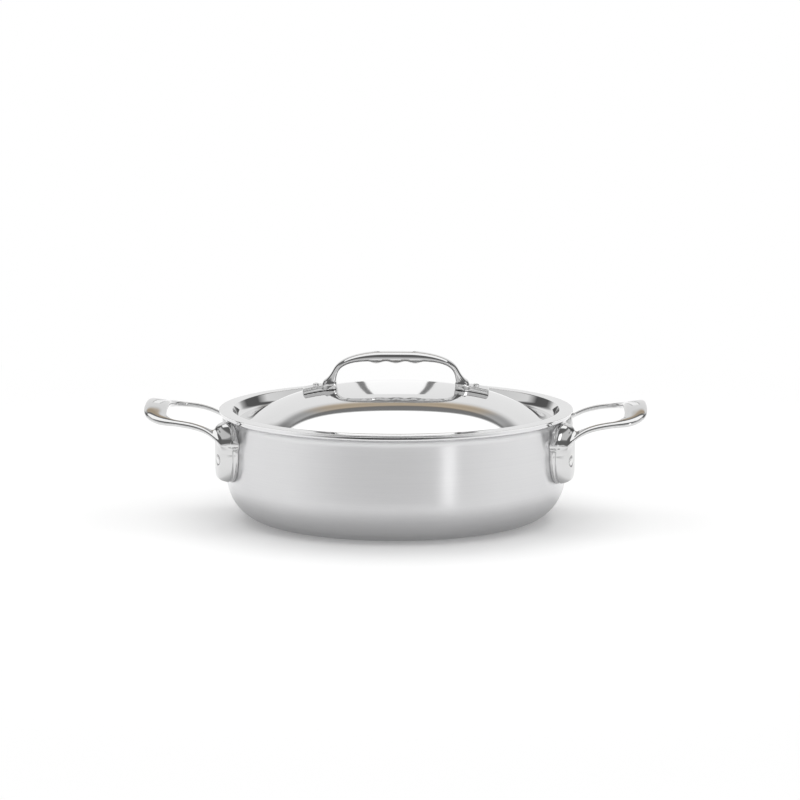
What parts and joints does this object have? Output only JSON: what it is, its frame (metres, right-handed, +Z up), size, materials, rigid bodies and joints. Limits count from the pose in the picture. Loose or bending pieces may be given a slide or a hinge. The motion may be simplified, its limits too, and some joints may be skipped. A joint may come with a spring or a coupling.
{
  "type": "saute pan with lid",
  "caption": "Round steel saute pan with an upright wall, cast loop side handles and a domed lift-off lid with an arched handle scalloped for fingers.",
  "frame": {"origin": "middle of the flat base, on the hob", "axes": "+Z up, the side handles lie along X, the lid handle runs along X too"},
  "size_m": [0.3612, 0.2552, 0.1204],
  "materials": {
    "brushed_body": "satin, brushed round the wall",
    "polished_handles": "mirror-polished stainless casting",
    "polished_lid": "mirror-polished stainless sheet",
    "polished_rivets": "polished stainless"
  },
  "bodies": {
    "pan": {"pan_body": "brushed_body", "left_side_handle": "polished_handles", "right_side_handle": "polished_handles", "left_front_rivet": "polished_rivets", "left_back_rivet": "polished_rivets", "right_front_rivet": "polished_rivets", "right_back_rivet": "polished_rivets"},
    "lid": {"lid_shell": "polished_lid", "lid_handle": "polished_handles", "lid_left_rivet": "polished_rivets", "lid_right_rivet": "polished_rivets"}
  },
  "joints": [
    {"name": "lid_lift", "type": "slide", "parent": "pan", "child": "lid", "axis": [0, 0, 1], "range_m": [0, 0.12]}
  ]
}
